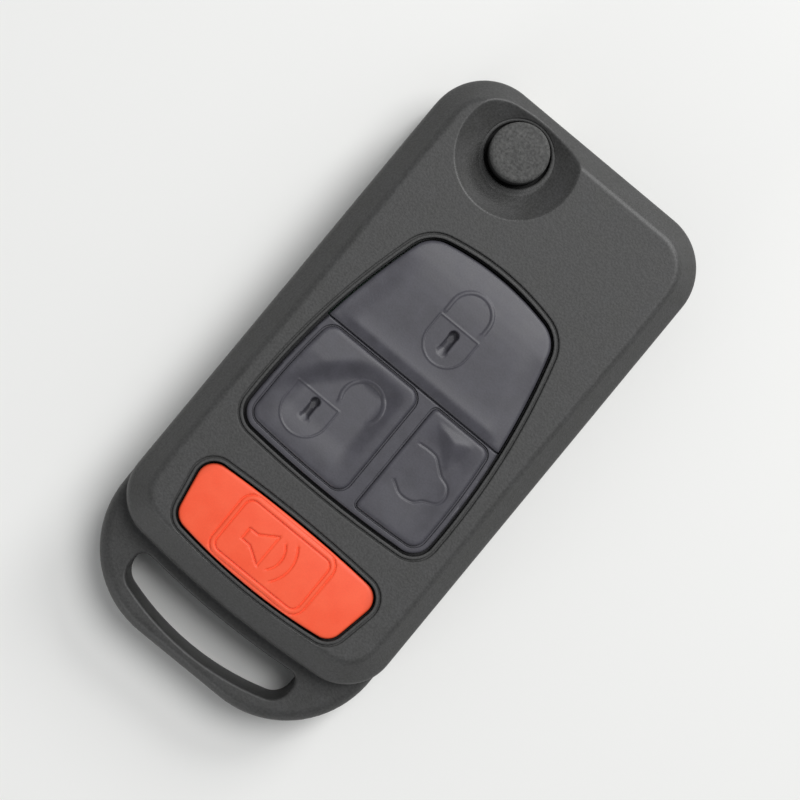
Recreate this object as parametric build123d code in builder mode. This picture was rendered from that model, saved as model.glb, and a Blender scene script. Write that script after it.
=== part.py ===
from build123d import *
import os

# A car key fob with a folding blade, lying on its back with the push buttons up.
# Millimetres. +Z is up, out of the front face. +Y points to the end with the release button.
# +X is to the right seen from the front. The origin is the middle of the outline, on the back face.
# A name that ends in _back is a distance back from the front end, the end with the button.

# Case
case_length = 76.5
case_width = 37.2
case_height = 14.5
rear_height = 8.0
wall = 1.5
top_wall = 1.3
floor_wall = 1.8
cover_draft = 0.3
end_lean = 0.9
edge_band_width = 2.4
edge_band_height = 3.0
edge_band_r = 1.5
top_edge_r = 1.2
bottom_edge_r = 2.0
front_corner_r = 7.3
cover_corner_r = 6.0
cover_length = 67.9
cover_end_bulge = 1.37

# Ring end of the rear cover
ring_corner_r = 12.5
ring_top_drop = 0.3
ring_edge_r = 1.5
slot_half_width = 11.9
slot_top_reach = 7.24
slot_height = 5.4
slot_upper_r = 108.0
slot_lower_r = 34.0
slot_upper_corner_r = 1.3
slot_lower_corner_r = 2.5
slot_edge_r = 0.35

# Lip of the rear cover inside the front cover
lip_gap = 0.1
lip_thickness = 0.6
lip_height = 0.8
lip_root = 2.5

# Window of the three grey keys, drawn on the middle of the gap round the rubber
pad_half_width = 13.36
pad_wide_back = 44.9
pad_side_r = 82.0
pad_top_back = 18.24
pad_top_r = 31.0
pad_bottom_back = 49.98
pad_bottom_r = 142.0
pad_top_corner_r = 4.0
pad_bottom_corner_r = 2.6
pad_gap = 0.4
pad_rise = 0.25
bezel_step = 0.33
bezel_groove = 0.28
bezel_depth = 0.3

# Grey keys
key_border = 0.8
key_split_back = 33.85
key_row_back = 34.46
unlock_right_x = 1.67
key_strip = 1.87
key_corner_r = 1.6
trunk_inner_r = 0.6
trunk_upper_r = 1.2
key_least_r = 0.5
key_clearance = 0.2
key_edge_r = 0.25
key_rise = 0.55
key_rim = 0.85
key_scoop_depth = 0.45
key_skin = 1.1
key_stroke = 0.4
lock_crest_rise = 0.8
lock_crest_reach = 1.35
lock_dish_rise = 0.3
lock_shoulder_rise = 0.45

# Panic key
panic_top_back = 54.62
panic_bottom_back = 63.59
panic_top_half_width = 12.78
panic_bottom_half_width = 11.31
panic_top_sag = 0.5
panic_bottom_sag = 0.83
panic_corner_r = 2.0
panic_gap = 0.36
panic_rise = 0.45
panic_crown_r = 55.0
frame_width = 13.4
frame_height = 8.3
frame_line = 0.65
frame_corner_r = 1.6
frame_relief = 0.15

# Rubber mat under the front cover
mat_thickness = 0.8
mat_margin = 1.7
mat_bridge_width = 24.0
mat_edge_gap = 0.25

# Release button and its dish
pivot_x = -7.45
pivot_back = 6.15
dish_x = -7.3
dish_back = 6.5
dish_rim_r = 7.25
dish_floor_r = 4.3
dish_depth = 1.8
dish_slope = 0.4
dish_wall = 1.3
dish_edge_r = 0.3
button_r = 3.6
button_gap = 0.6
button_rise = 1.3
button_edge_r = 0.5
button_skin = 1.4
button_flange_r = 4.9
button_flange_room = 0.15
button_flange = 1.2
button_flange_gap = 0.1

# Blade hub, its pin, washer and springs
hub_r = 6.05
hub_top_z = 7.7
hub_gap = 0.4
washer_thickness = 0.3
washer_r = 3.6
pin_r = 1.0
pin_seat = 1.2
pin_end = 0.4
running_gap = 0.04
stem_r = 2.3
stem_flat = 1.8
stem_height = 3.5
stem_gap = 0.1
arm_out = 7.2
arm_in = 1.0
arm_reach = 11.5
arm_bottom_z = 3.0
arm_corner_r = 2.0
hub_spring_r = 3.6
hub_spring_wire = 0.4
hub_spring_turns = 4
hub_bore_r = 4.6
hub_roof = 0.9
button_spring_r = 1.85
button_spring_wire = 0.18
button_spring_turns = 4
button_bore_r = 2.5

# Key blade
blade_reach = 54.0
blade_width = 7.6
blade_thickness = 2.3
blade_bottom_z = 4.7
blade_centre_x = -10.4
blade_tip_r = 2.6
blade_root = 1.8
groove_width = 2.2
groove_depth = 0.5
groove_end = 5.0
roll_pin_r = 0.8
roll_pin_reach = 9.0
channel_gap = 0.4
channel_rib = 1.2

# Electronics
frame_plate = 0.9
frame_clearance = 0.15
board_thickness = 0.8
board_margin = 0.5
board_back = 16.0
board_end_gap = 2.8
switch_size = 4.5
switch_height = 1.8
plunger_r = 0.8
plunger_rise = 0.5
plunger_bore = 0.9
lock_switch_x = 0.0
lock_switch_back = 26.9
unlock_switch_x = -5.3
trunk_switch_x = 7.9
lower_switches_back = 41.6
panic_switch_x = 0.0
chip_size = 5.0
chip_height = 0.9
chip_x = 8.5
chip_back = 21.5
crystal_length = 3.2
crystal_width = 2.5
crystal_height = 0.8
crystal_x = -8.5
crystal_back = 47.1
transponder_length = 12.0
transponder_width = 6.0
transponder_height = 3.0
transponder_x = 8.5
transponder_back = 9.0
post_r = 1.1
post_front_x = 12.3
post_front_back = 17.3
post_mid_x = 9.0
rear_post_r = 1.5
rear_post_x = 13.6
rear_post_first_back = 17.9
rear_post_last_back = 36.1

# Battery and its cover
battery_r = 10.0
battery_thickness = 3.2
battery_x = 5.4
battery_back = 51.5
battery_step = 0.25
battery_clearance = 0.2
door_ledge_x = 0.45
door_ledge_y = 2.0
door_plate = 1.0
door_gap = 0.1
door_corner_r = 3.0
door_ring_r = 8.8
door_ring_wall = 1.0
door_ring_height = 1.4
door_notch_r = 2.2
door_notch_depth = 0.6
contact_width = 3.0
contact_sheet = 0.25

front_y = case_length / 2
ring_y = -case_length / 2
half_width = case_width / 2
cover_end_y = front_y - cover_length
slot_top_y = ring_y + slot_top_reach
pad_wide_y = front_y - pad_wide_back
pad_top_y = front_y - pad_top_back
pad_bottom_y = front_y - pad_bottom_back
key_split_y = front_y - key_split_back
key_row_top_y = front_y - key_row_back
panic_top_y = front_y - panic_top_back
panic_bottom_y = front_y - panic_bottom_back
panic_mid_y = (panic_top_y + panic_bottom_y) / 2
pivot_y = front_y - pivot_back
dish_y = front_y - dish_back
board_front_y = front_y - board_back
board_ring_y = cover_end_y + board_end_gap
lock_switch = (lock_switch_x, front_y - lock_switch_back)
unlock_switch = (unlock_switch_x, front_y - lower_switches_back)
trunk_switch = (trunk_switch_x, front_y - lower_switches_back)
panic_switch = (panic_switch_x, panic_mid_y)
battery_y = front_y - battery_back
post_front_y = front_y - post_front_back
post_mid_y = (pad_bottom_y + panic_top_y) / 2
front_posts = [
    (-post_front_x, post_front_y),
    (post_front_x, post_front_y),
    (-post_mid_x, post_mid_y),
    (post_mid_x, post_mid_y),
]
rear_posts = [
    (rear_post_x, front_y - rear_post_first_back),
    (rear_post_x, front_y - rear_post_last_back),
]
ceiling_z = case_height - top_wall
mat_z = ceiling_z - mat_thickness
board_z = rear_height + frame_plate
board_top_z = board_z + board_thickness
switch_top_z = board_top_z + switch_height
plunger_top_z = switch_top_z + plunger_rise
key_bottom_z = mat_z + 0.1
pad_top_z = case_height + pad_rise
dish_z = case_height - dish_depth
dish_under_z = dish_z - dish_wall
hub_bottom_z = floor_wall + washer_thickness
channel_z = blade_bottom_z - channel_gap
rib_left_x = blade_centre_x + blade_width / 2 + channel_gap
rib_right_x = rib_left_x + channel_rib
hub_pocket_r = hub_r + hub_gap
swing_r = (arm_out**2 + arm_reach**2) ** 0.5 + hub_gap
blade_tip_y = pivot_y - blade_reach
battery_z = door_plate + door_ring_height
dish_axis = Axis((dish_x, dish_y, 0), (0, 0, 1))

os.makedirs("parts", exist_ok=True)


def save(part, name):
    part.label = name
    export_step(part, f"parts/{name}.step")


# Adds a plan to the sketch being drawn, grown or shrunk by an even margin.
def add_plan(plan, grow=0.0, mode=Mode.ADD):
    if grow == 0:
        add(plan.sketch, mode=mode)
    else:
        add(offset(plan.sketch, amount=grow, mode=Mode.PRIVATE), mode=mode)


# Outline of the front cover. Its ring end bulges a little and can lean back.
def draw_cover_outline(inset=0.0, lean=0.0):
    side_x = half_width - inset
    end_y = cover_end_y + lean
    with BuildLine() as edge:
        Line((-side_x, end_y + cover_end_bulge), (-side_x, front_y - inset))
        Line((-side_x, front_y - inset), (side_x, front_y - inset))
        Line((side_x, front_y - inset), (side_x, end_y + cover_end_bulge))
        ThreePointArc(
            (side_x, end_y + cover_end_bulge),
            (0, end_y),
            (-side_x, end_y + cover_end_bulge),
        )
    outline = make_face(edge.edges())
    fillet(outline.vertices().group_by(Axis.Y)[-1], front_corner_r - inset)
    return outline


# Plans that several pieces share
with BuildSketch() as cover_plan:
    draw_cover_outline()
    fillet(cover_plan.vertices().group_by(Axis.Y)[0], cover_corner_r)

with BuildSketch() as cover_top_plan:
    draw_cover_outline(cover_draft, end_lean)
    fillet(cover_top_plan.vertices().group_by(Axis.Y)[0], cover_corner_r)

with BuildSketch() as rear_plan:
    Rectangle(case_width, case_length)
    fillet(rear_plan.vertices().group_by(Axis.Y)[-1], front_corner_r)
    fillet(rear_plan.vertices().group_by(Axis.Y)[0], ring_corner_r)

# Plan of the grey rubber, grown by an even margin: four arcs with rounded corners.
def plan_pad(grow=0.0):
    with BuildSketch() as plan:
        with Locations(Location((pad_half_width - pad_side_r, pad_wide_y), 180)):
            Circle(pad_side_r + grow)
        with Locations((pad_side_r - pad_half_width, pad_wide_y)):
            Circle(pad_side_r + grow, mode=Mode.INTERSECT)
        with Locations((0, pad_top_y - pad_top_r)):
            Circle(pad_top_r + grow, mode=Mode.INTERSECT)
        with Locations((0, pad_bottom_y + pad_bottom_r)):
            Circle(pad_bottom_r + grow, mode=Mode.INTERSECT)
        fillet(plan.vertices().group_by(Axis.Y)[-1], pad_top_corner_r + grow)
        fillet(plan.vertices().group_by(Axis.Y)[0], pad_bottom_corner_r + grow)
    return plan


pad_plan = plan_pad(-pad_gap / 2)
window_plan = plan_pad(pad_gap / 2)
mat_plan = plan_pad(pad_gap / 2 + mat_margin)
groove_plan = plan_pad(pad_gap / 2 + bezel_step)
groove_edge_plan = plan_pad(pad_gap / 2 + bezel_step + bezel_groove)

with BuildSketch() as panic_plan:
    with BuildLine():
        ThreePointArc(
            (-panic_top_half_width, panic_top_y - panic_top_sag),
            (0, panic_top_y),
            (panic_top_half_width, panic_top_y - panic_top_sag),
        )
        Line(
            (panic_top_half_width, panic_top_y - panic_top_sag),
            (panic_bottom_half_width, panic_bottom_y + panic_bottom_sag),
        )
        ThreePointArc(
            (panic_bottom_half_width, panic_bottom_y + panic_bottom_sag),
            (0, panic_bottom_y),
            (-panic_bottom_half_width, panic_bottom_y + panic_bottom_sag),
        )
        Line(
            (-panic_bottom_half_width, panic_bottom_y + panic_bottom_sag),
            (-panic_top_half_width, panic_top_y - panic_top_sag),
        )
    make_face()
    fillet(panic_plan.vertices(), panic_corner_r)

# Large blank used to keep one side of a plan
blank = 2 * case_length


# Plans of the three grey keys, cut from the rubber's plan and grown by an even margin.
def plan_lock_key(grow=0.0):
    rubber_plan = plan_pad(grow - pad_gap / 2)
    with BuildSketch() as plan:
        add_plan(rubber_plan)
        with Locations((0, key_split_y - grow)):
            Rectangle(blank, blank, align=(Align.CENTER, Align.MIN), mode=Mode.INTERSECT)
    return plan


def plan_unlock_key(grow=0.0):
    rubber_plan = plan_pad(grow - pad_gap / 2 - key_border)
    with BuildSketch() as plan:
        add_plan(rubber_plan)
        with Locations((unlock_right_x + grow, key_row_top_y + grow)):
            Rectangle(blank, blank, align=(Align.MAX, Align.MAX), mode=Mode.INTERSECT)
        fillet(plan.vertices().group_by(Axis.Y)[-1], max(key_corner_r + grow, key_least_r))
        fillet(plan.vertices().sort_by(Axis.X)[-2:].sort_by(Axis.Y)[0], max(key_corner_r + grow, key_least_r))
    return plan


def plan_trunk_key(grow=0.0):
    rubber_plan = plan_pad(grow - pad_gap / 2 - key_border)
    with BuildSketch() as plan:
        add_plan(rubber_plan)
        with Locations((unlock_right_x + key_strip - grow, key_row_top_y + grow)):
            Rectangle(blank, blank, align=(Align.MIN, Align.MAX), mode=Mode.INTERSECT)
        fillet(plan.vertices().group_by(Axis.X)[0], max(trunk_inner_r + grow, key_least_r))
        fillet(plan.vertices().group_by(Axis.Y)[-1].sort_by(Axis.X)[-1], max(trunk_upper_r + grow, key_least_r))
    return plan


def plan_panic_key(grow=0.0):
    with BuildSketch() as plan:
        add_plan(panic_plan, grow)
    return plan


with BuildSketch() as slot_plan:
    with Locations((0, slot_top_y - slot_height + slot_lower_r)):
        Circle(slot_lower_r)
    with Locations((0, ring_y)):
        Rectangle(
            2 * slot_half_width,
            2 * slot_height + ring_corner_r,
            align=(Align.CENTER, Align.MIN),
            mode=Mode.INTERSECT,
        )
    with Locations((0, slot_top_y + slot_upper_r)):
        Circle(slot_upper_r, mode=Mode.SUBTRACT)
    fillet(slot_plan.vertices().group_by(Axis.Y)[-1], slot_upper_corner_r)
    fillet(slot_plan.vertices().group_by(Axis.Y)[0], slot_lower_corner_r)


# Room inside the front cover, with the same sloping band under its top edge
with BuildPart() as cover_room:
    with BuildSketch(Plane.XY.offset(rear_height)):
        add_plan(cover_plan, -wall)
    with BuildSketch(Plane.XY.offset(ceiling_z)):
        add_plan(cover_top_plan, -wall)
    loft(ruled=True)
    room_top = cover_room.faces().sort_by(Axis.Z)[-1]
    chamfer(room_top.edges(), edge_band_width - wall / 2, edge_band_height - wall / 2, reference=room_top)
    # Round pocket in the front wall, where the button's flange turns with the hub
    with BuildSketch(Plane.XY.offset(rear_height)):
        with Locations((pivot_x, pivot_y)):
            Circle(button_flange_r + button_flange_room)
    extrude(amount=dish_under_z - rear_height)
    # The cup that carries the dish hangs into the room, as steep as the dish itself
    with BuildSketch(Plane.XZ.offset(-dish_y)):
        with BuildLine():
            Polyline(
                (dish_x, dish_under_z),
                (dish_x + dish_floor_r + dish_wall / 2, dish_under_z),
                (dish_x + dish_rim_r + dish_wall / 2, ceiling_z),
                (dish_x, ceiling_z),
                close=True,
            )
        make_face()
    revolve(axis=dish_axis, mode=Mode.SUBTRACT)

# Front cover: a moulded shell with two key windows, the dish and its round hole
with BuildPart() as front_cover:
    with BuildSketch(Plane.XY.offset(rear_height)):
        add_plan(cover_plan)
    with BuildSketch(Plane.XY.offset(case_height)):
        add_plan(cover_top_plan)
    loft(ruled=True)
    cover_top = front_cover.faces().sort_by(Axis.Z)[-1]
    chamfer(cover_top.edges(), edge_band_width, edge_band_height, reference=cover_top)
    band_z = case_height - edge_band_height
    fillet(front_cover.edges().filter_by_position(Axis.Z, band_z - 0.1, band_z + 0.1), edge_band_r)
    fillet(front_cover.faces().sort_by(Axis.Z)[-1].edges(), top_edge_r)
    add(cover_room.part, mode=Mode.SUBTRACT)
    # Dish, a cone that steepens to its rim, and the round hole of the button
    with BuildSketch(Plane.XZ.offset(-dish_y)):
        with BuildLine():
            Line((dish_x, dish_z), (dish_x + dish_floor_r, dish_z))
            flank = TangentArc(
                (dish_x + dish_floor_r, dish_z),
                (dish_x + dish_rim_r, case_height),
                tangent=(1, dish_slope),
            )
            Polyline(flank @ 1, (dish_x, case_height), (dish_x, dish_z))
        make_face()
    revolve(axis=dish_axis, mode=Mode.SUBTRACT)
    fillet(
        front_cover.edges().filter_by(GeomType.CIRCLE).sort_by(lambda edge: abs(edge.radius - dish_rim_r))[0],
        dish_edge_r,
    )
    with BuildSketch(Plane.XY.offset(dish_under_z)):
        with Locations((pivot_x, pivot_y)):
            Circle(button_r + button_gap)
    extrude(amount=dish_depth + dish_wall, mode=Mode.SUBTRACT)
    # Windows, and the fine groove round each
    with BuildSketch(Plane.XY.offset(ceiling_z)):
        add_plan(window_plan)
        add_plan(panic_plan, panic_gap)
    extrude(amount=top_wall, mode=Mode.SUBTRACT)
    with BuildSketch(Plane.XY.offset(case_height - bezel_depth)):
        add_plan(groove_edge_plan)
        add_plan(groove_plan, mode=Mode.SUBTRACT)
        add_plan(panic_plan, panic_gap + bezel_step + bezel_groove)
        add_plan(panic_plan, panic_gap + bezel_step, mode=Mode.SUBTRACT)
    extrude(amount=bezel_depth, mode=Mode.SUBTRACT)
    # Posts that press the board onto its frame
    with BuildSketch(Plane.XY.offset(board_top_z)):
        with Locations(*front_posts):
            Circle(post_r)
    extrude(amount=ceiling_z - board_top_z)
save(front_cover.part, "front_cover")

# Rear cover: the back, the ring end with its slot, the battery bay and the blade channel
with BuildPart() as rear_cover:
    with BuildSketch():
        add_plan(rear_plan)
    extrude(amount=rear_height - ring_top_drop)
    fillet(rear_cover.faces().sort_by(Axis.Z)[0].edges(), bottom_edge_r)
    fillet(rear_cover.faces().sort_by(Axis.Z)[-1].edges(), ring_edge_r)
    with BuildSketch(Plane.XY.offset(bottom_edge_r)):
        add_plan(cover_plan)
    extrude(amount=rear_height - bottom_edge_r)
    # Slot for the key ring, right through
    with BuildSketch():
        add_plan(slot_plan)
    extrude(amount=rear_height, mode=Mode.SUBTRACT)
    fillet(rear_cover.edges(Select.LAST).group_by(Axis.Z)[-1], slot_edge_r)
    # Bay for the battery and the electronics, with a round wall about the hub
    with BuildSketch(Plane.XY.offset(floor_wall)):
        add_plan(cover_plan, -wall)
        with Locations((rib_right_x, 0)):
            Rectangle(blank, blank, align=(Align.MIN, Align.CENTER), mode=Mode.INTERSECT)
        with Locations((pivot_x, pivot_y)):
            Circle(hub_pocket_r + channel_rib, mode=Mode.SUBTRACT)
        with Locations(*rear_posts):
            Circle(rear_post_r, mode=Mode.SUBTRACT)
    extrude(amount=rear_height, mode=Mode.SUBTRACT)
    with BuildSketch(Plane.XY.offset(floor_wall)):
        with Locations((pivot_x, pivot_y)):
            Circle(hub_pocket_r)
    extrude(amount=rear_height, mode=Mode.SUBTRACT)
    # Channel of the folded blade, open to the left side
    with BuildSketch(Plane.XY.offset(channel_z)):
        with Locations((rib_left_x, blade_tip_y - channel_gap)):
            Rectangle(
                case_width,
                pivot_y - blade_tip_y,
                align=(Align.MAX, Align.MIN),
            )
    extrude(amount=rear_height, mode=Mode.SUBTRACT)
    # Room for the arm as it swings out through the left side and the corner
    with BuildSketch(Plane.XY.offset(arm_bottom_z - channel_gap)):
        with Locations((pivot_x, pivot_y)):
            Circle(swing_r)
        with Locations((pivot_x, pivot_y)):
            Rectangle(blank, blank, align=(Align.MAX, Align.CENTER), mode=Mode.INTERSECT)
        with Locations((pivot_x, pivot_y)):
            Rectangle(arm_out + channel_gap, swing_r, align=(Align.MIN, Align.MIN))
        with Locations((pivot_x, pivot_y)):
            Rectangle(
                arm_in + channel_gap,
                arm_reach + channel_gap,
                align=(Align.MIN, Align.MAX),
            )
    extrude(amount=rear_height, mode=Mode.SUBTRACT)
    # Seat of the pivot pin
    with BuildSketch(Plane.XY.offset(floor_wall - pin_seat)):
        with Locations((pivot_x, pivot_y)):
            Circle(pin_r)
    extrude(amount=pin_seat, mode=Mode.SUBTRACT)
    # Lip that locates the front cover, on the closed sides only
    for lip_z, lip_top_z, lip_outer in (
        (rear_height - lip_root, rear_height, wall - lip_gap),
        (rear_height, rear_height + lip_height, wall + lip_gap),
    ):
        with BuildSketch(Plane.XY.offset(lip_z)):
            add_plan(cover_plan, -lip_outer)
            add_plan(cover_plan, -wall - lip_gap - lip_thickness, mode=Mode.SUBTRACT)
            with Locations((pivot_x + swing_r, cover_end_y + cover_end_bulge + cover_corner_r)):
                Rectangle(blank, blank, align=(Align.MIN, Align.MIN), mode=Mode.INTERSECT)
        extrude(amount=lip_top_z - lip_z)
    # Opening for the battery and the recess of its cover
    with BuildSketch():
        with Locations((battery_x, battery_y)):
            Rectangle(
                2 * (battery_r + battery_clearance),
                2 * (battery_r + battery_clearance),
            )
    extrude(amount=floor_wall, mode=Mode.SUBTRACT)
    with BuildSketch():
        with Locations((battery_x, battery_y)):
            RectangleRounded(
                2 * (battery_r + battery_clearance + door_ledge_x),
                2 * (battery_r + battery_clearance + door_ledge_y),
                door_corner_r,
            )
    extrude(amount=door_plate, mode=Mode.SUBTRACT)
save(rear_cover.part, "rear_cover")

# Inner frame: the plate that roofs the blade channel and carries the board
with BuildPart() as inner_frame:
    with BuildSketch(Plane.XY.offset(rear_height)):
        add_plan(cover_plan, -wall - lip_gap - lip_thickness - frame_clearance)
        with Locations((0, board_front_y)):
            Rectangle(blank, blank, align=(Align.CENTER, Align.MAX), mode=Mode.INTERSECT)
        with Locations((pivot_x, pivot_y)):
            Circle(hub_pocket_r + channel_rib, mode=Mode.SUBTRACT)
        with Locations((battery_x, battery_y)):
            RectangleRounded(
                1.5 * battery_r,
                2 * battery_r + 2 * contact_width,
                door_corner_r,
                mode=Mode.SUBTRACT,
            )
    extrude(amount=frame_plate)
save(inner_frame.part, "inner_frame")

# Circuit board
with BuildPart() as circuit_board:
    with BuildSketch(Plane.XY.offset(board_z)):
        add_plan(cover_plan, -wall - lip_gap - lip_thickness - board_margin)
        with Locations((0, board_front_y)):
            Rectangle(blank, blank, align=(Align.CENTER, Align.MAX), mode=Mode.INTERSECT)
        with Locations((0, board_ring_y)):
            Rectangle(blank, blank, align=(Align.CENTER, Align.MIN), mode=Mode.INTERSECT)
        with Locations((pivot_x, pivot_y)):
            Circle(hub_pocket_r + channel_rib + board_margin, mode=Mode.SUBTRACT)
    extrude(amount=board_thickness)
save(circuit_board.part, "circuit_board")


# Push switches on the board, each with its own plunger
def make_switch(place, name):
    with BuildPart() as body:
        with BuildSketch(Plane.XY.offset(board_top_z)):
            with Locations(place):
                Rectangle(switch_size, switch_size)
        extrude(amount=switch_height)
        chamfer(body.edges().filter_by(Axis.Z), switch_size / 10)
        with BuildSketch(Plane.XY.offset(switch_top_z - plunger_bore)):
            with Locations(place):
                Circle(plunger_r + running_gap)
        extrude(amount=plunger_bore, mode=Mode.SUBTRACT)
    save(body.part, f"switch_{name}")
    with BuildPart() as plunger:
        with BuildSketch(Plane.XY.offset(plunger_top_z)):
            with Locations(place):
                Circle(plunger_r)
        extrude(amount=-plunger_rise - plunger_bore + key_stroke + running_gap)
    save(plunger.part, f"plunger_{name}")


make_switch(lock_switch, "lock")
make_switch(unlock_switch, "unlock")
make_switch(trunk_switch, "trunk")
make_switch(panic_switch, "panic")

# Rubber mat: the sheet under the cover and the web that frames the two lower keys
key_holes = [
    plan_lock_key(key_clearance),
    plan_unlock_key(key_clearance),
    plan_trunk_key(key_clearance),
    plan_panic_key(key_clearance),
]
with BuildPart() as keypad:
    with BuildSketch(Plane.XY.offset(mat_z)):
        add_plan(mat_plan)
        add_plan(panic_plan, panic_gap + mat_margin)
        with Locations((0, post_mid_y)):
            Rectangle(mat_bridge_width, pad_bottom_y - panic_top_y)
        add_plan(cover_top_plan, -wall / 2 - edge_band_width - mat_edge_gap, mode=Mode.INTERSECT)
        for hole_plan in key_holes:
            add_plan(hole_plan, mode=Mode.SUBTRACT)
        with Locations(*front_posts):
            Circle(post_r + key_clearance, mode=Mode.SUBTRACT)
    extrude(amount=mat_thickness)
    with BuildSketch(Plane.XY.offset(ceiling_z)):
        add_plan(pad_plan)
        with Locations((0, key_split_y - key_clearance)):
            Rectangle(blank, blank, align=(Align.CENTER, Align.MAX), mode=Mode.INTERSECT)
        for hole_plan in key_holes:
            add_plan(hole_plan, mode=Mode.SUBTRACT)
    extrude(amount=pad_top_z - ceiling_z)
    fillet(keypad.faces().sort_by(Axis.Z)[-1].outer_wire().edges(), key_edge_r)
save(keypad.part, "keypad")


# Underside of a key: hollow behind its skin, with the post that meets the plunger.
def hollow_key(inner_plan, place, top_z):
    with BuildSketch(Plane.XY.offset(key_bottom_z)) as room:
        add_plan(inner_plan)
    extrude(room.sketch, amount=top_z - key_skin - key_bottom_z, mode=Mode.SUBTRACT)
    with BuildSketch(Plane.XY.offset(plunger_top_z)) as post:
        with Locations(place):
            Circle(plunger_r + key_skin / 2)
    extrude(post.sketch, amount=top_z - key_skin - plunger_top_z)


# Lock key: falls away to the front edge, dips in the middle and rises to a crest
lock_plan = plan_lock_key()
lock_inner_plan = plan_lock_key(-key_skin)
with BuildPart() as lock_key:
    with BuildSketch(Plane.XY.offset(key_bottom_z)):
        add_plan(lock_plan)
    extrude(amount=case_height)
    with BuildSketch(Plane.YZ):
        with BuildLine():
            top_line = Spline(
                (key_split_y, case_height + pad_rise / 2),
                (key_split_y + lock_crest_reach, case_height + lock_crest_rise),
                (key_split_y + 0.4 * (pad_top_y - key_split_y), case_height + lock_dish_rise),
                (key_split_y + 0.75 * (pad_top_y - key_split_y), case_height + lock_shoulder_rise),
                (pad_top_y, case_height - pad_rise),
            )
            Polyline(
                top_line @ 1,
                (pad_top_y, key_bottom_z),
                (key_split_y, key_bottom_z),
                top_line @ 0,
            )
        make_face()
    extrude(amount=case_width, both=True, mode=Mode.INTERSECT)
    hollow_key(lock_inner_plan, lock_switch, case_height + lock_dish_rise)
save(lock_key.part, "lock_key")


# Lower key: a raised block with a shallow scoop in its top
def make_lower_key(make_plan, place, name):
    top_z = case_height + key_rise
    plan = make_plan()
    inner_plan = make_plan(-key_skin)
    scoop_plan = make_plan(-key_rim)
    with BuildPart() as key:
        with BuildSketch(Plane.XY.offset(key_bottom_z)):
            add_plan(plan)
        extrude(amount=top_z - key_bottom_z)
        fillet(key.faces().sort_by(Axis.Z)[-1].edges(), key_scoop_depth / 2)
        with BuildSketch(Plane.XY.offset(top_z)):
            add_plan(scoop_plan)
        extrude(amount=-key_scoop_depth, taper=45, mode=Mode.SUBTRACT)
        hollow_key(inner_plan, place, top_z - key_scoop_depth)
    save(key.part, name)


make_lower_key(plan_unlock_key, unlock_switch, "unlock_key")
make_lower_key(plan_trunk_key, trunk_switch, "trunk_key")

# Panic key: slightly crowned, with a raised frame line
panic_inner_plan = plan_panic_key(-key_skin)
with BuildPart() as panic_key:
    with BuildSketch(Plane.XY.offset(key_bottom_z)):
        add_plan(panic_plan)
    extrude(amount=case_height)
    with BuildSketch(Plane.XZ):
        with Locations((0, case_height + panic_rise - panic_crown_r)):
            Circle(panic_crown_r)
    extrude(amount=case_length, both=True, mode=Mode.INTERSECT)
    fillet(panic_key.faces().sort_by(Axis.Z)[-1].edges(), panic_rise / 2)
    with BuildSketch(Plane.XY.offset(case_height)):
        with Locations((0, panic_mid_y)):
            RectangleRounded(frame_width, frame_height, frame_corner_r)
            RectangleRounded(
                frame_width - 2 * frame_line,
                frame_height - 2 * frame_line,
                frame_corner_r - frame_line,
                mode=Mode.SUBTRACT,
            )
    extrude(amount=panic_rise + frame_relief)
    hollow_key(panic_inner_plan, panic_switch, case_height)
save(panic_key.part, "panic_key")

# Release button: a round cap with a flange that stops it under the dish
with BuildPart() as release_button:
    button_top_z = case_height + button_rise
    flange_top_z = dish_under_z - button_flange_gap
    flange_z = flange_top_z - button_flange
    with BuildSketch(Plane.XY.offset(flange_z)):
        with Locations((pivot_x, pivot_y)):
            Circle(button_flange_r)
    extrude(amount=button_flange)
    with BuildSketch(Plane.XY.offset(flange_top_z)):
        with Locations((pivot_x, pivot_y)):
            Circle(button_r)
    extrude(amount=button_top_z - flange_top_z)
    fillet(release_button.faces().sort_by(Axis.Z)[-1].edges(), button_edge_r)
    # Bore that slides on the flats of the hub's stem, and the room of the spring above it
    with BuildSketch(Plane.XY.offset(flange_z)):
        with Locations((pivot_x, pivot_y)):
            Circle(stem_r + stem_gap)
            Rectangle(2 * (stem_flat + stem_gap), 2 * button_r, mode=Mode.INTERSECT)
    extrude(amount=button_flange, mode=Mode.SUBTRACT)
    with BuildSketch(Plane.XY.offset(flange_top_z)):
        with Locations((pivot_x, pivot_y)):
            Circle(button_bore_r)
    extrude(amount=button_top_z - button_skin - flange_top_z, mode=Mode.SUBTRACT)
save(release_button.part, "release_button")

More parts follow.
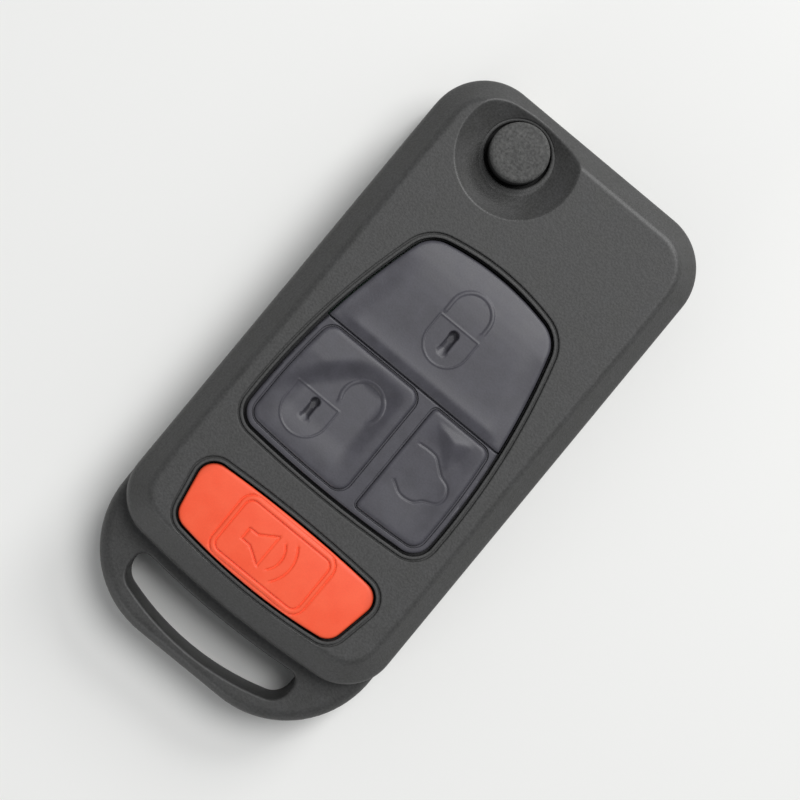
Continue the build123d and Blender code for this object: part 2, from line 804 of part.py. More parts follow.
# Blade hub: a drum with the arm that grips the blade and the stem under the button
with BuildPart() as blade_hub:
    stem_top_z = hub_top_z + stem_height
    with BuildSketch(Plane.XY.offset(hub_bottom_z)):
        with Locations((pivot_x, pivot_y)):
            Circle(hub_r)
    extrude(amount=hub_top_z - hub_bottom_z)
    with BuildSketch(Plane.XY.offset(arm_bottom_z)) as arm_plan:
        with Locations((pivot_x + arm_in, pivot_y)):
            Rectangle(arm_out + arm_in, arm_reach, align=(Align.MAX, Align.MAX))
        fillet(arm_plan.vertices().group_by(Axis.Y)[0], arm_corner_r)
    extrude(amount=hub_top_z - arm_bottom_z)
    with BuildSketch(Plane.XY.offset(hub_top_z)):
        with Locations((pivot_x, pivot_y)):
            Circle(stem_r)
            Rectangle(2 * stem_flat, 2 * stem_r, mode=Mode.INTERSECT)
    extrude(amount=stem_height)
    # Bore of the pin, the spring's chamber and the slot that takes the blade's root
    with BuildSketch(Plane.XY.offset(hub_bottom_z)):
        with Locations((pivot_x, pivot_y)):
            Circle(pin_r + running_gap)
    extrude(amount=stem_top_z - hub_bottom_z, mode=Mode.SUBTRACT)
    with BuildSketch(Plane.XY.offset(hub_bottom_z)):
        with Locations((pivot_x, pivot_y)):
            Circle(hub_bore_r)
            Circle(stem_r, mode=Mode.SUBTRACT)
    extrude(amount=hub_top_z - hub_roof - hub_bottom_z, mode=Mode.SUBTRACT)
    with BuildSketch(Plane.XY.offset(blade_bottom_z)):
        with Locations((blade_centre_x, pivot_y - hub_bore_r - blade_root)):
            Rectangle(blade_width, arm_reach, align=(Align.CENTER, Align.MAX))
    extrude(amount=blade_thickness, mode=Mode.SUBTRACT)
    with BuildSketch(Plane.XY.offset(arm_bottom_z)):
        with Locations((blade_centre_x, pivot_y - roll_pin_reach)):
            Circle(roll_pin_r)
    extrude(amount=hub_top_z - arm_bottom_z, mode=Mode.SUBTRACT)
save(blade_hub.part, "blade_hub")

# Key blade, uncut, with a milled groove in each face
with BuildPart() as key_blade:
    blade_root_y = pivot_y - hub_bore_r - blade_root
    with BuildSketch(Plane.XY.offset(blade_bottom_z)) as blade_plan:
        with Locations((blade_centre_x, blade_tip_y)):
            Rectangle(blade_width, blade_root_y - blade_tip_y, align=(Align.CENTER, Align.MIN))
        chamfer(blade_plan.vertices().group_by(Axis.Y)[0], blade_tip_r)
        with Locations((blade_centre_x, pivot_y - roll_pin_reach)):
            Circle(roll_pin_r, mode=Mode.SUBTRACT)
    extrude(amount=blade_thickness)
    groove_top_y = pivot_y - arm_reach - groove_width
    groove_bottom_y = blade_tip_y + groove_end
    for groove_z, groove_cut in (
        (blade_bottom_z, groove_depth),
        (blade_bottom_z + blade_thickness, -groove_depth),
    ):
        with BuildSketch(Plane.XY.offset(groove_z)):
            with Locations((blade_centre_x, (groove_top_y + groove_bottom_y) / 2)):
                SlotOverall(groove_top_y - groove_bottom_y, groove_width, rotation=90)
        extrude(amount=groove_cut, mode=Mode.SUBTRACT)
save(key_blade.part, "key_blade")

# Roll pin through the arm and the blade's root
with BuildPart() as blade_roll_pin:
    with BuildSketch(Plane.XY.offset(arm_bottom_z)):
        with Locations((blade_centre_x, pivot_y - roll_pin_reach)):
            Circle(roll_pin_r)
            Circle(roll_pin_r / 2, mode=Mode.SUBTRACT)
    extrude(amount=hub_top_z - arm_bottom_z)
save(blade_roll_pin.part, "blade_roll_pin")

# Pivot pin and thrust washer
with BuildPart() as pivot_pin:
    pin_top_z = hub_top_z + stem_height + pin_end
    with BuildSketch(Plane.XY.offset(floor_wall - pin_seat)):
        with Locations((pivot_x, pivot_y)):
            Circle(pin_r)
    extrude(amount=pin_top_z - floor_wall + pin_seat)
    chamfer(pivot_pin.faces().sort_by(Axis.Z)[-1].edges(), pin_r / 5)
save(pivot_pin.part, "pivot_pin")

with BuildPart() as thrust_washer:
    with BuildSketch(Plane.XY.offset(floor_wall)):
        with Locations((pivot_x, pivot_y)):
            Circle(washer_r)
            Circle(pin_r + running_gap, mode=Mode.SUBTRACT)
    extrude(amount=washer_thickness)
save(thrust_washer.part, "thrust_washer")


# Coil spring about the pivot, wound between two heights
def make_spring(bottom_z, top_z, coil_r, wire_r, turns, name):
    rise = top_z - bottom_z - 2 * wire_r
    with BuildPart() as spring:
        with BuildLine():
            coil = Helix(rise / turns, rise, coil_r, center=(pivot_x, pivot_y, bottom_z + wire_r))
        with BuildSketch(Plane(origin=coil @ 0, z_dir=coil % 0)):
            RegularPolygon(wire_r, 6)
        sweep(is_frenet=True)
    save(spring.part, name)


make_spring(
    hub_bottom_z, hub_top_z - hub_roof, hub_spring_r, hub_spring_wire, hub_spring_turns, "flip_spring"
)
make_spring(
    hub_top_z + stem_height,
    case_height + button_rise - button_skin,
    button_spring_r,
    button_spring_wire,
    button_spring_turns,
    "button_spring",
)

# Parts on the board
with BuildPart() as controller_chip:
    with BuildSketch(Plane.XY.offset(board_top_z)):
        with Locations((chip_x, front_y - chip_back)):
            Rectangle(chip_size, chip_size)
    extrude(amount=chip_height)
save(controller_chip.part, "controller_chip")

with BuildPart() as crystal:
    with BuildSketch(Plane.XY.offset(board_top_z)):
        with Locations((crystal_x, front_y - crystal_back)):
            Rectangle(crystal_length, crystal_width)
    extrude(amount=crystal_height)
save(crystal.part, "crystal")

# Transponder block, loose in the bay beside the hub
with BuildPart() as transponder:
    with BuildSketch(Plane.XY.offset(floor_wall)):
        with Locations((transponder_x, front_y - transponder_back)):
            Rectangle(transponder_length, transponder_width)
    extrude(amount=transponder_height)
    chamfer(transponder.faces().sort_by(Axis.Z)[-1].edges(), transponder_height / 6)
save(transponder.part, "transponder")

# Coin cell: a can with the narrower cap above it
with BuildPart() as battery:
    with BuildSketch(Plane.XY.offset(battery_z)):
        with Locations((battery_x, battery_y)):
            Circle(battery_r)
    extrude(amount=battery_thickness - battery_step)
    chamfer(battery.edges().filter_by(GeomType.CIRCLE), battery_step)
    with BuildSketch(Plane.XY.offset(battery_z + battery_thickness - battery_step)):
        with Locations((battery_x, battery_y)):
            Circle(battery_r - 4 * battery_step)
    extrude(amount=battery_step)
save(battery.part, "battery")

# Contact springs between the board and the cell
with BuildPart() as contact_negative:
    cell_top_z = battery_z + battery_thickness
    with BuildSketch(Plane.YZ.offset(battery_x)):
        with BuildLine():
            Polyline(
                (battery_y - battery_r / 2, board_z - contact_sheet / 2),
                (battery_y + battery_r / 2, board_z - contact_sheet / 2),
                (battery_y + battery_r / 3, (board_z + cell_top_z) / 2),
                (battery_y - battery_r / 4, cell_top_z + contact_sheet / 2),
                (battery_y - battery_r / 2, cell_top_z + contact_sheet),
            )
        trace(line_width=contact_sheet)
    extrude(amount=contact_width / 2, both=True)
save(contact_negative.part, "contact_negative")

with BuildPart() as contact_positive:
    contact_y = battery_y + battery_r + battery_clearance / 2 + contact_sheet / 2
    with BuildSketch(Plane.YZ.offset(battery_x)):
        with BuildLine():
            Polyline(
                (contact_y, battery_z + battery_step),
                (contact_y, board_z - contact_sheet / 2),
                (contact_y + contact_width / 2, board_z - contact_sheet / 2),
            )
        trace(line_width=contact_sheet)
    extrude(amount=contact_width / 2, both=True)
save(contact_positive.part, "contact_positive")

# Battery cover: a flush plate with a ring that holds the cell and a notch for a fingernail
with BuildPart() as battery_cover:
    door_half_y = battery_r + battery_clearance + door_ledge_y - door_gap
    with BuildSketch():
        with Locations((battery_x, battery_y)):
            RectangleRounded(
                2 * (battery_r + battery_clearance + door_ledge_x - door_gap),
                2 * door_half_y,
                door_corner_r - door_gap,
            )
    extrude(amount=door_plate)
    with BuildSketch(Plane.XY.offset(door_plate)):
        with Locations((battery_x, battery_y)):
            Circle(door_ring_r)
            Circle(door_ring_r - door_ring_wall, mode=Mode.SUBTRACT)
    extrude(amount=door_ring_height)
    with BuildSketch():
        with Locations((battery_x, battery_y + door_half_y)):
            Circle(door_notch_r)
    extrude(amount=door_notch_depth, mode=Mode.SUBTRACT)
save(battery_cover.part, "battery_cover")
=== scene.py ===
import bpy
import math
import numpy as np
from mathutils import Matrix, Vector
from mathutils.geometry import delaunay_2d_cdt


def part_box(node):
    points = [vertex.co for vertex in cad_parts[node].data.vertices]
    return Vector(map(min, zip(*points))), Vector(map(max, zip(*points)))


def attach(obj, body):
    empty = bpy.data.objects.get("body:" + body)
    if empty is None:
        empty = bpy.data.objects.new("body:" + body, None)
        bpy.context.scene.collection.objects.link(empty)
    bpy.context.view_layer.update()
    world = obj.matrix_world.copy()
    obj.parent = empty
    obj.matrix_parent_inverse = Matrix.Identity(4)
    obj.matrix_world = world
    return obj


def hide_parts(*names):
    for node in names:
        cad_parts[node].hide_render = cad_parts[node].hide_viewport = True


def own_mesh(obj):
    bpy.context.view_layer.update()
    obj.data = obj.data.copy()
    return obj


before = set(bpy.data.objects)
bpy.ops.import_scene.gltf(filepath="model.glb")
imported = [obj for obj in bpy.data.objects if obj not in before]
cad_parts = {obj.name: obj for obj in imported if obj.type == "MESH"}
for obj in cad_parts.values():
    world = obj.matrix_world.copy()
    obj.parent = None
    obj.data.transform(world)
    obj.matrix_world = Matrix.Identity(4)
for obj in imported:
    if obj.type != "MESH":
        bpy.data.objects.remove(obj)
bpy.context.view_layer.update()
mm = 0.001
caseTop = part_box("front_cover")[1].z / mm    # height of the flat top of the case, in mm
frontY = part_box("front_cover")[1].y / mm     # front end of the case, in mm
print("frame loaded, the flat top of the case is at", round(caseTop, 2), "mm")


# Small tools: colours, nodes and materials
def linearColour(hexColour):
    values = []
    for at in (1, 3, 5):
        c = int(hexColour[at:at + 2], 16) / 255
        values.append(c / 12.92 if c <= 0.04045 else ((c + 0.055) / 1.055) ** 2.4)
    return (*values, 1.0)


def addNode(tree, kind, settings=None, links=None):
    node = tree.nodes.new(kind)
    for name, value in (settings or {}).items():
        if isinstance(name, int) or name in node.inputs:
            node.inputs[name].default_value = value
        else:
            setattr(node, name, value)
    for name, socket in (links or {}).items():
        tree.links.new(socket, node.inputs[name])
    return node


def addNoise(tree, place, size, settings):
    noise = addNode(tree, "ShaderNodeTexNoise", {"Scale": 1 / (size * mm), **settings}, {"Vector": place})
    return noise.outputs["Fac"]


def upwardPart(tree, vector):
    return addNode(tree, "ShaderNodeSeparateXYZ", links={"Vector": vector}).outputs["Z"]


# A value that goes from one end to the other as the input goes from low to high
def addRange(tree, value, low, high, first=0.0, last=1.0):
    settings = {"From Min": low, "From Max": high, "To Min": first, "To Max": last}
    return addNode(tree, "ShaderNodeMapRange", settings, {"Value": value}).outputs[0]


patternFade = (0.3, 0.7)    # a noise pattern does all its change between these two values
# A face is an upper edge where the upward part of its normal lies between steep and flat
upperEdge = {"flat": 0.998, "tilted": 0.98, "notSteep": 0.9, "steep": 0.82}
bevelSamples = 6


# One layered finish: two shades mixed by a soft pattern, grit in the bump, a little change in the gloss
def makeFinish(look):
    material = bpy.data.materials.new(look["name"])
    material.use_nodes = True
    material.diffuse_color = linearColour(look["light"])
    tree = material.node_tree
    shader = tree.nodes["Principled BSDF"]
    shader.inputs["Metallic"].default_value = look.get("metallic", 0.0)
    if "IOR" in look:
        shader.inputs["IOR"].default_value = look["IOR"]
    surface = addNode(tree, "ShaderNodeTexCoord")
    place = surface.outputs["Object"]
    if "stretch" in look:
        place = addNode(tree, "ShaderNodeMapping", {"Scale": look["stretch"]}, {"Vector": place}).outputs[0]
    cloud = addNoise(tree, place, look["cloudSize"], {"Detail": 3.0})
    grit = addNoise(tree, place, look["gritSize"], {"Detail": 2.0, "Roughness": 0.6})
    shades = addNode(tree, "ShaderNodeValToRGB", links={"Fac": cloud})
    for end, position, colour in zip(shades.color_ramp.elements, patternFade, (look["dark"], look["light"])):
        end.position = position
        end.color = linearColour(colour)
    speckle = addRange(tree, grit, *patternFade, 1 - look["speckle"], 1 + look["speckle"])
    shade = addNode(tree, "ShaderNodeVectorMath", {"operation": "MULTIPLY"},
                    {0: shades.outputs[0], 1: speckle}).outputs[0]
    if "deep" in look:    # painted shade: what lies low, between the keys and round the button, is painted darker towards a shade colour, with a soft change, in mm over the case
        low, high = ((caseTop + level) * mm for level in look["deep"])
        share = addRange(tree, upwardPart(tree, surface.outputs["Object"]), low, high)
        shade = addNode(tree, "ShaderNodeMixRGB", {"Color1": linearColour(look["deepColour"])},
                        {"Fac": share, "Color2": shade}).outputs[0]
    # the base colour now carries the painted shade of the low parts
    tree.links.new(shade, shader.inputs["Base Color"])
    roughness, change = look["roughness"], look["glossChange"]
    dullness = addRange(tree, cloud, *patternFade, roughness - change, roughness + change)
    if "edgeGloss" in look:    # upper edges, told by their tilt, are rubbed smooth by hands and pockets
        facing = upwardPart(tree, surface.outputs["Normal"])
        tilted = addRange(tree, facing, upperEdge["flat"], upperEdge["tilted"])
        upper = addRange(tree, facing, upperEdge["steep"], upperEdge["notSteep"])
        rubbed = addNode(tree, "ShaderNodeMath", {"operation": "MULTIPLY"}, {0: tilted, 1: upper}).outputs[0]
        dullness = addNode(tree, "ShaderNodeMapRange", {"To Max": look["edgeGloss"]},
                           {"Value": rubbed, "To Min": dullness}).outputs[0]
    tree.links.new(dullness, shader.inputs["Roughness"])
    bump = addNode(tree, "ShaderNodeBump", {"Strength": 1.0, "Distance": look["gritDepth"] * mm},
                   {"Height": grit})
    if "edge" in look:    # softens the sharp edges of the moulding
        rounded = addNode(tree, "ShaderNodeBevel", {"samples": bevelSamples, "Radius": look["edge"] * mm})
        tree.links.new(rounded.outputs[0], bump.inputs["Normal"])
    tree.links.new(bump.outputs[0], shader.inputs["Normal"])
    return material


# The finishes: shades as sRGB, and sizes of patterns, depths of grit and rounds of edges in mm
finishes = {
    # an even matt grit that scatters the light, so the case looks soft grey
    "case_plastic": {
        "name": "spark-eroded ABS", "dark": "#3A3A39", "light": "#404040", "cloudSize": 2.4,
        "gritSize": 0.26, "gritDepth": 0.03, "speckle": 0.26, "roughness": 0.6, "glossChange": 0.03,
        "IOR": 1.53, "edge": 0.25, "edgeGloss": 0.46},
    # the same plastic with a coarser grit, so the button's top sparkles, over a smooth flank that is painted
    # near black as painted shade where it sinks into the dish
    "button_plastic": {
        "name": "coarse spark-eroded ABS", "dark": "#484847", "light": "#525251", "cloudSize": 1.5,
        "gritSize": 0.32, "gritDepth": 0.05, "speckle": 0.38, "roughness": 0.8, "glossChange": 0.04,
        "IOR": 1.5, "edge": 0.12, "deep": (0.2, 0.9), "deepColour": "#121212"},
    # a smooth satin skin with a faint violet cast, on which the dishes and crests draw soft lights; below
    # the top of the case it is painted near black as painted shade in the gaps
    "key_rubber": {
        "name": "silicone rubber grey", "dark": "#434248", "light": "#4B4A51", "cloudSize": 1.8,
        "gritSize": 0.22, "gritDepth": 0.006, "speckle": 0.08, "roughness": 0.43, "glossChange": 0.03,
        "IOR": 1.45, "edge": 0.15, "deep": (-1.0, -0.3), "deepColour": "#141417"},
    # signal orange, even and slightly waxy, so the alarm key stands out at once; below the top of the case
    # it is painted dark red as painted shade in the gap
    "panic_rubber": {
        "name": "silicone rubber orange", "dark": "#FC5C3A", "light": "#FF6340", "cloudSize": 2.5,
        "gritSize": 0.18, "gritDepth": 0.004, "speckle": 0.03, "roughness": 0.45, "glossChange": 0.04,
        "IOR": 1.41, "edge": 0.15, "deep": (-0.8, -0.2), "deepColour": "#3A0A06"},
    # bright, with the soft skin of a casting
    "hub_metal": {
        "name": "nickel-plated zinc", "dark": "#B4B1A9", "light": "#C2BFB7", "cloudSize": 1.5,
        "gritSize": 0.25, "gritDepth": 0.002, "speckle": 0.03, "roughness": 0.3, "glossChange": 0.05,
        "metallic": 1.0, "edge": 0.15},
    # ground along its length: fine lines and long highlights
    "blade_metal": {
        "name": "ground nickel silver", "dark": "#BDB8AC", "light": "#CDC8BC", "cloudSize": 1.2,
        "gritSize": 0.2, "gritDepth": 0.003, "speckle": 0.04, "roughness": 0.28, "glossChange": 0.06,
        "metallic": 1.0, "edge": 0.12, "stretch": (1.0, 0.04, 1.0)},
    # dark bright wire
    "spring_steel": {
        "name": "drawn spring steel", "dark": "#808286", "light": "#96989B", "cloudSize": 1.0,
        "gritSize": 0.12, "gritDepth": 0.002, "speckle": 0.04, "roughness": 0.34, "glossChange": 0.05,
        "metallic": 1.0},
    # near black with a low gloss, so the inside stays quiet
    "inner_plastic": {
        "name": "moulded nylon", "dark": "#262728", "light": "#2E2F30", "cloudSize": 1.5,
        "gritSize": 0.2, "gritDepth": 0.006, "speckle": 0.05, "roughness": 0.5, "glossChange": 0.04,
        "IOR": 1.53},
    # the glossy green of solder resist
    "board_laminate": {
        "name": "glass-fibre laminate", "dark": "#1B4530", "light": "#235239", "cloudSize": 1.0,
        "gritSize": 0.4, "gritDepth": 0.003, "speckle": 0.06, "roughness": 0.35, "glossChange": 0.05,
        "IOR": 1.55},
    # black and dull
    "chip_resin": {
        "name": "moulded epoxy resin", "dark": "#18191B", "light": "#202123", "cloudSize": 0.8,
        "gritSize": 0.12, "gritDepth": 0.004, "speckle": 0.05, "roughness": 0.55, "glossChange": 0.04,
        "IOR": 1.55},
    # pale and warm
    "contact_metal": {
        "name": "tinned spring bronze", "dark": "#B3A582", "light": "#C4B896", "cloudSize": 1.0,
        "gritSize": 0.15, "gritDepth": 0.002, "speckle": 0.04, "roughness": 0.32, "glossChange": 0.05,
        "metallic": 1.0},
    # a pale, neutral shine
    "cell_steel": {
        "name": "drawn stainless steel", "dark": "#B2B2B1", "light": "#C3C3C2", "cloudSize": 2.0,
        "gritSize": 0.15, "gritDepth": 0.002, "speckle": 0.03, "roughness": 0.26, "glossChange": 0.04,
        "metallic": 1.0},
}
madeFinishes = {slot: makeFinish(look) for slot, look in finishes.items()}
for name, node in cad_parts.items():
    for holder in node.material_slots:
        slot = "button_plastic" if name == "release_button" else holder.material.name.split(".")[0]
        holder.material = madeFinishes[slot]
print("finishes made:", len(madeFinishes))


# A piece of the scene from points in mm. Its finish is that of its slot, unless it names another one.
def addPiece(name, points, faces, spec):
    mesh = bpy.data.meshes.new(name)
    mesh.from_pydata([(x * mm, y * mm, z * mm) for x, y, z in points], [], faces)
    mesh.validate()
    piece = bpy.data.objects.new(name, mesh)
    bpy.context.scene.collection.objects.link(piece)
    mesh.materials.append(madeFinishes[spec.get("finish", spec["slot"])])
    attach(piece, spec["body"])
    print(name, "made,", len(mesh.polygons), "faces")
    return piece


# Distance from points to the edge of a plan, negative inside. The sides of a plan are arcs (centre x,
# centre y, radius) or lines (normal x, normal y, reach) in mm, its corners name two sides and a radius, and
# its middle is a point inside it.
def planDistance(plan, x, y):
    away, facing = [], []
    for kind, a, b, reach in plan["sides"]:
        if kind == "arc":
            dx, dy = x - a, y - b
            far = np.hypot(dx, dy)
            away.append(far - reach)
            facing.append((dx / far, dy / far))
        else:
            away.append(a * x + b * y - reach)
            facing.append((a, b))
    distance = np.max(away, axis=0)
    for i, j, r in plan["corners"]:    # the middle of a corner's arc lies r inside both sides
        u, v = away[i] + r, away[j] + r
        turn = facing[i][0] * facing[j][0] + facing[i][1] * facing[j][1]
        spread = 1 - turn * turn
        inCorner = (u > v * turn) & (v > u * turn)
        reach = np.sqrt(np.maximum((u * u + v * v - 2 * u * v * turn) / spread, 0)) - r
        distance = np.where(inCorner, reach, distance)
    return distance


smallestCorner = 0.05


def grownPlan(plan, grow):
    return {"sides": [(kind, a, b, reach + grow) for kind, a, b, reach in plan["sides"]],
            "corners": [(i, j, max(r + grow, smallestCorner)) for i, j, r in plan["corners"]],
            "middle": plan["middle"]}


# Closed loop of points on a plan's edge, found by halving along rays and spaced evenly
rays = {"count": 1440, "reach": 60.0, "halvings": 40, "fewestPoints": 12}


def planLoop(plan, spacing):
    cx, cy = plan["middle"]
    angle = np.linspace(0, 2 * math.pi, rays["count"], endpoint=False)
    inner, outer = np.zeros_like(angle), np.full_like(angle, rays["reach"])
    for _ in range(rays["halvings"]):
        half = (inner + outer) / 2
        inside = planDistance(plan, cx + half * np.cos(angle), cy + half * np.sin(angle)) < 0
        inner, outer = np.where(inside, half, inner), np.where(inside, outer, half)
    x, y = cx + inner * np.cos(angle), cy + inner * np.sin(angle)
    steps = np.hypot(np.diff(x, append=x[0]), np.diff(y, append=y[0]))
    run = np.concatenate([[0], np.cumsum(steps)])
    count = max(rays["fewestPoints"], int(run[-1] / spacing))
    at = np.linspace(0, run[-1], count, endpoint=False)
    return np.column_stack([np.interp(at, run, np.append(x, x[0])), np.interp(at, run, np.append(y, y[0]))])


def softStep(t):
    t = np.clip(t, 0, 1)
    return t * t * (3 - 2 * t)


tiny = 1e-9    # keeps divisions by a length from failing, and tells a flat triangle


# Distance from points to a line through the stroke's points
def strokeDistance(stroke, x, y):
    pts = np.array(stroke["points"], float)
    if len(pts) == 1:
        return np.hypot(x - pts[0, 0], y - pts[0, 1])
    least = np.full(np.shape(x), np.inf)
    for (ax, ay), (bx, by) in zip(pts[:-1], pts[1:]):
        along = ((x - ax) * (bx - ax) + (y - ay) * (by - ay)) / max((bx - ax) ** 2 + (by - ay) ** 2, tiny)
        along = np.clip(along, 0, 1)
        least = np.minimum(least, np.hypot(x - ax - along * (bx - ax), y - ay - along * (by - ay)))
    return least


# Height of the strokes over the skin: each is level out to half less soft, and gone at half
def strokeRelief(strokes, x, y):
    relief = np.zeros(np.shape(x))
    for stroke in strokes:
        gone = strokeDistance(stroke, x, y)
        step = stroke["height"] * softStep((stroke["half"] - gone) / stroke["soft"])
        relief = np.where(np.abs(step) > np.abs(relief), step, relief)
    return relief


# Points beside a stroke, close enough to show its flanks, with an outer row a little way off
def strokePoints(stroke, spacing, outerRow):
    pts = np.array(stroke["points"], float)
    half, soft = stroke["half"], stroke["soft"]
    sides = sorted({0.0, half - soft, half - soft / 2, half, half + outerRow})
    out = []
    if len(pts) == 1:
        for side in sides:
            count = max(1, int(2 * math.pi * side / spacing))
            turn = np.arange(count) * 2 * math.pi / count
            out.append(np.column_stack([pts[0, 0] + side * np.cos(turn), pts[0, 1] + side * np.sin(turn)]))
        return np.concatenate(out)
    for a, b in zip(pts[:-1], pts[1:]):
        length = np.hypot(*(b - a))
        count = max(1, int(length / spacing))
        line = a + (b - a) * (np.arange(count + 1)[:, None] / count)
        across = np.array([-(b - a)[1], (b - a)[0]]) / max(length, tiny)
        for side in sides:
            out.append(line + across * side)
            out.append(line - across * side)
    return np.concatenate(out)


def thinOut(points, least):
    kept, used = [], set()
    for x, y in points:
        cell = (round(x / least), round(y / least))
        if cell not in used:
            used.add(cell)
            kept.append((x, y))
    return np.array(kept)


# A moulded key skin: rounded edge, a top that follows a height, relief strokes, and walls down to its foot.
# Every skin starts from these measures, in mm. The steps of the edge go from the wall to the top, as shares
# of a quarter turn. Free points keep a share of the loops' spacing from the rim, those of the grid keep
# their room from the strokes, and points nearer than the sameness become one.
skin = {"edge": 0.35, "edgeSteps": (0, 0.25, 0.5, 0.75, 1.0), "loopSpacing": 0.3, "rimShare": 0.4,
        "grid": 0.32, "gridRoom": 0.15, "strokeSpacing": 0.11, "thinShare": 0.6, "outerRow": 0.08,
        "sameness": 1e-5, "foot": 12.6, "slot": "key_rubber"}


def mouldSkin(name, plan, height, spec, strokes):
    edge = spec["edge"]
    loops = []
    for share in spec["edgeSteps"]:
        inset = edge * (1 - math.cos(share * math.pi / 2))
        loops.append(planLoop(grownPlan(plan, -inset), spec["loopSpacing"]))
    low, high = loops[0].min(0), loops[0].max(0)
    gx, gy = np.meshgrid(np.arange(low[0], high[0], spec["grid"]), np.arange(low[1], high[1], spec["grid"]))
    field = np.column_stack([gx.ravel(), gy.ravel()])
    beside = np.concatenate([strokePoints(s, spec["strokeSpacing"], spec["outerRow"]) for s in strokes])
    near = np.min([strokeDistance(s, field[:, 0], field[:, 1]) - s["half"] for s in strokes], axis=0)
    free = np.concatenate([thinOut(beside, spec["strokeSpacing"] * spec["thinShare"]),
                           field[near > spec["gridRoom"]]])
    inward = planDistance(grownPlan(plan, -edge), free[:, 0], free[:, 1])
    free = free[inward < -spec["rimShare"] * spec["loopSpacing"]]
    points, edges = [], []
    for loop in loops:
        first = len(points)
        points += [tuple(p) for p in loop]
        edges += [(first + k, first + (k + 1) % len(loop)) for k in range(len(loop))]
    points += [tuple(p) for p in free]
    made = delaunay_2d_cdt([Vector(p) for p in points], edges, [], 0, spec["sameness"])
    flat = np.array([tuple(v) for v in made[0]])
    x, y = flat[:, 0], flat[:, 1]
    depth = np.clip(-planDistance(plan, x, y), 0, edge)
    drop = edge - np.sqrt(np.maximum(edge ** 2 - (edge - depth) ** 2, 0))
    z = height(x, y) - drop + strokeRelief(strokes, x, y)
    faces = []
    for a, b, c in made[2]:
        turned = (x[b] - x[a]) * (y[c] - y[a]) - (x[c] - x[a]) * (y[b] - y[a])
        if abs(turned) > tiny:
            faces.append((a, b, c) if turned > 0 else (a, c, b))
    # walls from the first loop down to the foot
    ring = range(len(loops[0]))
    verts = [(px, py, pz) for (px, py), pz in zip(flat, z)]
    foot = len(verts)
    verts += [(x[k], y[k], spec["foot"]) for k in ring]
    for k in ring:
        after = (k + 1) % len(ring)
        faces.append((after, k, foot + k, foot + after))
    faces.append(tuple(foot + k for k in reversed(ring)))
    piece = addPiece(name, verts, faces, spec)
    piece.data.shade_smooth()
    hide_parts(spec["node"])


def arcPoints(cx, cy, r, start, end, count):
    turn = np.radians(np.linspace(start, end, count))
    return [(cx + r * math.cos(t), cy + r * math.sin(t)) for t in turn]


# Smooth line through points, with a number of steps between each two
def smoothLine(points, steps):
    pts = np.array(points[:1] + points + points[-1:], float)
    line = []
    for a, b, c, d in zip(pts, pts[1:], pts[2:], pts[3:]):
        for t in np.arange(steps) / steps:
            bend = (2 * a - 5 * b + 4 * c - d) * t + (3 * b - a - 3 * c + d) * t * t
            line.append(tuple(b + ((c - a) + bend) * t / 2))
    return line + [tuple(points[-1])]


# Closed line of a rectangle with round corners
def roundedBox(cx, cy, halfX, halfY, r):
    pointsPerCorner = 8
    loop = []
    for sx, sy, start in ((1, 1, 0), (-1, 1, 90), (-1, -1, 180), (1, -1, 270)):
        corner = (cx + sx * (halfX - r), cy + sy * (halfY - r))
        loop += arcPoints(*corner, r, start, start + 90, pointsPerCorner)
    return loop + loop[:1]


# Side of a plan through two points, with the plan to the left of the way from the first to the second
def lineSide(ax, ay, bx, by):
    length = math.hypot(bx - ax, by - ay)
    nx, ny = (by - ay) / length, (ax - bx) / length
    return ("line", nx, ny, nx * ax + ny * ay)


# Window of the grey keys, as the case has it. Places along the case are in mm back from its front end.
window = {"halfWidth": 13.36, "wideY": frontY - 44.9, "sideR": 82.0, "topY": frontY - 18.24, "topR": 31.0,
          "bottomY": frontY - 49.98, "bottomR": 142.0, "topCornerR": 4.0, "bottomCornerR": 2.6, "gap": 0.4,
          "border": 0.8}
splitY = frontY - 33.85     # foot of the lock key
rowTopY = frontY - 34.46    # top of the two lower keys
padGrow = -window["gap"] / 2    # the rubber keeps half the gap from the window's outline
padSides = [
    ("arc", window["halfWidth"] - window["sideR"], window["wideY"], window["sideR"] + padGrow),
    ("arc", window["sideR"] - window["halfWidth"], window["wideY"], window["sideR"] + padGrow),
    ("arc", 0.0, window["topY"] - window["topR"], window["topR"] + padGrow),
    ("arc", 0.0, window["bottomY"] + window["bottomR"], window["bottomR"] + padGrow),
]
lowerSides = [(kind, a, b, r - window["border"]) for kind, a, b, r in padSides]
lowerCornerR = window["bottomCornerR"] + padGrow - window["border"]
print("window of the keys drawn")

# Lock key: a crest beside the web, then one long fall to the front edge, with falling shoulders. Places
# along it are in mm from the split line, heights in mm over the case. The blur is how many samples of the
# crest are averaged.
lock = {
    "splitGap": 0.12, "middle": 6.5, "samples": 240, "blur": 13,
    "crest": [(0.0, 0.55), (0.45, 0.62), (0.9, 0.8), (1.1, 0.8), (1.6, 0.74), (2.2, 0.69), (3.0, 0.65),
              (4.1, 0.63), (6.0, 0.61), (8.6, 0.58), (10.1, 0.53), (11.6, 0.43), (13.1, 0.25),
              (14.6, -0.02), (15.6, -0.3)],
    "shoulderAt": (0, 1.2, 4, 16), "shoulder": (0.55, 0.5, 0.47, 0.47), "shoulderFrom": 0.2,
    "shoulderWide": 2.8,
    "fall": 0.12, "fallWide": 3.4, "fallStart": 1, "fallGrows": 6, "fallEnd": 14, "fallFades": 8,
}
lockPlan = {
    "sides": padSides[:3] + [("line", 0.0, -1.0, lock["splitGap"] - splitY)],
    "corners": [(0, 2, window["topCornerR"] + padGrow), (1, 2, window["topCornerR"] + padGrow)],
    "middle": (0.0, splitY + lock["middle"]),
}


